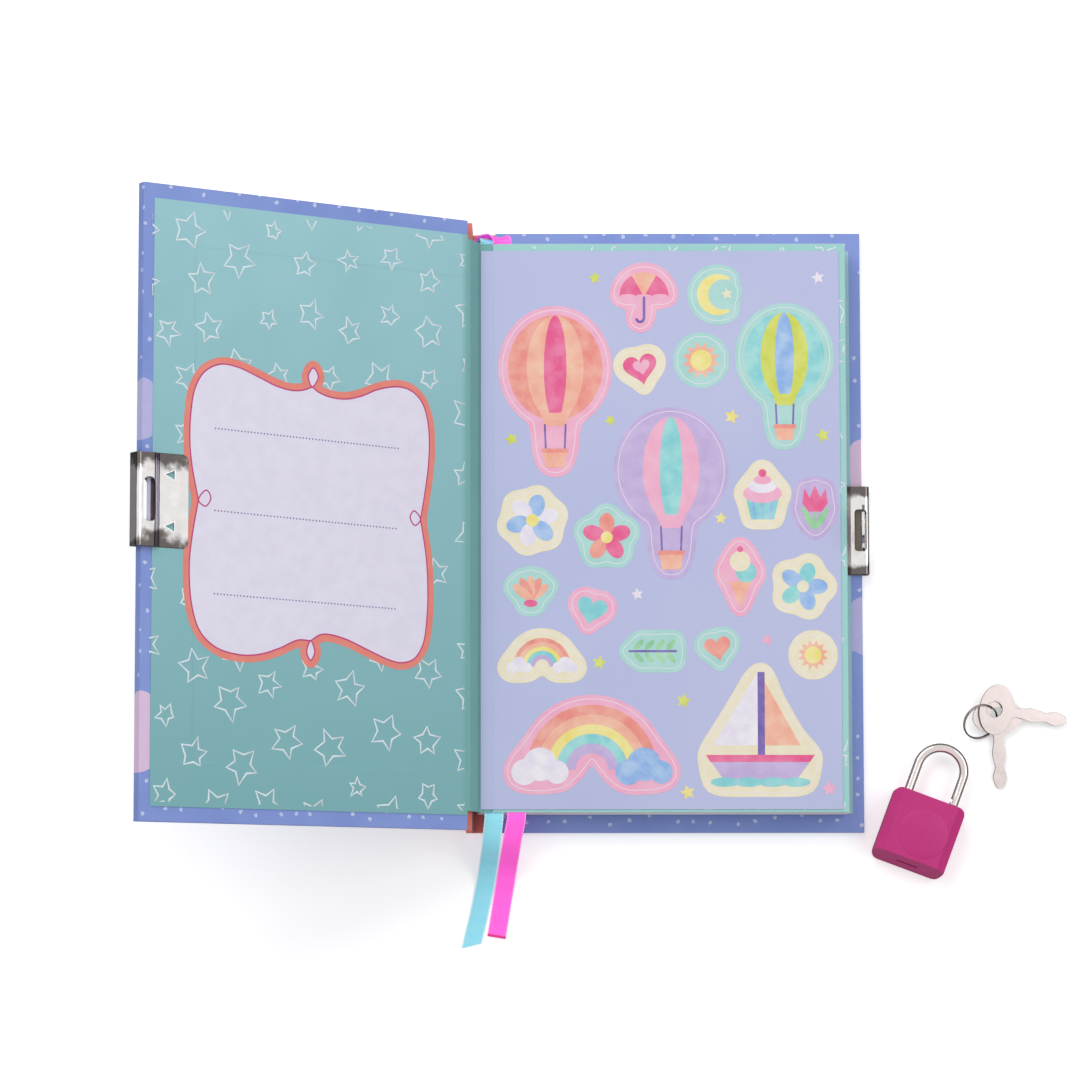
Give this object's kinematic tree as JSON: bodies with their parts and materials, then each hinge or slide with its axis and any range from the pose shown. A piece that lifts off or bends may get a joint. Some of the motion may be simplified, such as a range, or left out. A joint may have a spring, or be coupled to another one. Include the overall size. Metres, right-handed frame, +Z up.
{
  "type": "secret diary with padlock",
  "caption": "Open hardback diary with a sticker sheet, ribbon markers and metal lock plates, beside its open padlock and a ring of flat keys.",
  "frame": {"origin": "centre of the back cover's underside, where the diary lies on the table", "axes": "+X from the spine to the fore-edge, +Y towards the head of the book, +Z up"},
  "size_m": [0.2416, 0.1915, 0.0796],
  "materials": {
    "cover_board": "raw grey board",
    "cover_paper": "printed and satin laminated",
    "coral_paper": "printed and satin laminated",
    "teal_endpaper": "printed, matte",
    "page_paper": "uncoated, matte",
    "sticker_paper": "gloss printed",
    "blue_satin": "satin weave",
    "pink_satin": "satin weave",
    "nickel_plate": "nickel plated and polished",
    "magenta_enamel": "satin enamel",
    "latch_steel": "plain"
  },
  "bodies": {
    "back_cover": {"back_board": "cover_board", "back_wrap": "cover_paper", "back_joint_wrap": "coral_paper", "back_endpaper": "teal_endpaper", "spine_board": "cover_board", "spine_wrap": "coral_paper", "spine_lining": "page_paper", "signature_1": "page_paper", "signature_2": "page_paper", "signature_3": "page_paper", "signature_4": "page_paper", "signature_5": "page_paper", "signature_6": "page_paper", "sheet_glue_strip": "sticker_paper", "staple_plate": "nickel_plate", "ribbon_blue": "blue_satin", "ribbon_blue_tail": "blue_satin", "ribbon_pink": "pink_satin", "ribbon_pink_tail": "pink_satin", "front_joint_wrap": "coral_paper", "front_joint_endpaper": "teal_endpaper"},
    "front_cover": {"front_board": "cover_board", "front_wrap": "cover_paper", "front_pastedown": "teal_endpaper", "hasp_plate": "nickel_plate"},
    "flyleaf": {"star_flyleaf": "teal_endpaper"},
    "sticker_leaf": {"sticker_sheet": "sticker_paper"},
    "padlock": {"lock_body": "magenta_enamel", "lock_back": "magenta_enamel", "latch_spring": "latch_steel", "lift_spring": "latch_steel"},
    "shackle_foot": {"shackle_retainer": "latch_steel"},
    "shackle_bow": {"shackle": "nickel_plate"},
    "latch": {"lock_latch": "latch_steel"},
    "ring": {"key_ring": "nickel_plate"},
    "upper_key": {"key_a": "nickel_plate"},
    "lower_key": {"key_b": "nickel_plate"}
  },
  "joints": [
    {"name": "front_cover_hinge", "type": "hinge", "parent": "back_cover", "child": "front_cover", "pos_m": [-0.0495, 0, 0.01799], "axis": [0, -1, 0], "range_deg": [-145.5, 42], "deforming": ["front_joint_wrap", "front_joint_endpaper"]},
    {"name": "flyleaf_turn", "type": "hinge", "parent": "back_cover", "child": "flyleaf", "pos_m": [-0.0455, 0, 0.01472], "axis": [0, -1, 0], "range_deg": [0, 72]},
    {"name": "sticker_sheet_turn", "type": "hinge", "parent": "flyleaf", "child": "sticker_leaf", "pos_m": [-0.0455, 0, 0.01504], "axis": [0, -1, 0], "range_deg": [0, 70]},
    {"name": "padlock_lift", "type": "slide", "parent": "back_cover", "child": "padlock", "axis": [0, 0, 1], "range_m": [0, 0.03]},
    {"name": "shackle_slide", "type": "slide", "parent": "padlock", "child": "shackle_foot", "axis": [0.3502, 0.9367, 0], "range_m": [-0.004, 0], "stiffness_N_per_m": 60, "springref_m": 0.004, "deforming": ["lift_spring"]},
    {"name": "shackle_swing", "type": "hinge", "parent": "shackle_foot", "child": "shackle_bow", "pos_m": [0.06059, -0.07813, 0.005], "axis": [-0.3502, -0.9367, 0], "range_deg": [0, 150]},
    {"name": "latch_slide", "type": "slide", "parent": "padlock", "child": "latch", "axis": [0.9367, -0.3502, 0], "range_m": [0, 0.0008]},
    {"name": "keys_lift", "type": "slide", "parent": "back_cover", "child": "ring", "axis": [0, 0, 1], "range_m": [0, 0.03]},
    {"name": "upper_key_swing", "type": "hinge", "parent": "ring", "child": "upper_key", "pos_m": [0.08705, -0.04754, 0.00375], "axis": [0.099, -0.099, 0.9901], "range_deg": [-10, 45]},
    {"name": "lower_key_swing", "type": "hinge", "parent": "ring", "child": "lower_key", "pos_m": [0.08796, -0.0489, 0.00256], "axis": [0.099, -0.099, 0.9901], "range_deg": [-35, 8]}
  ]
}
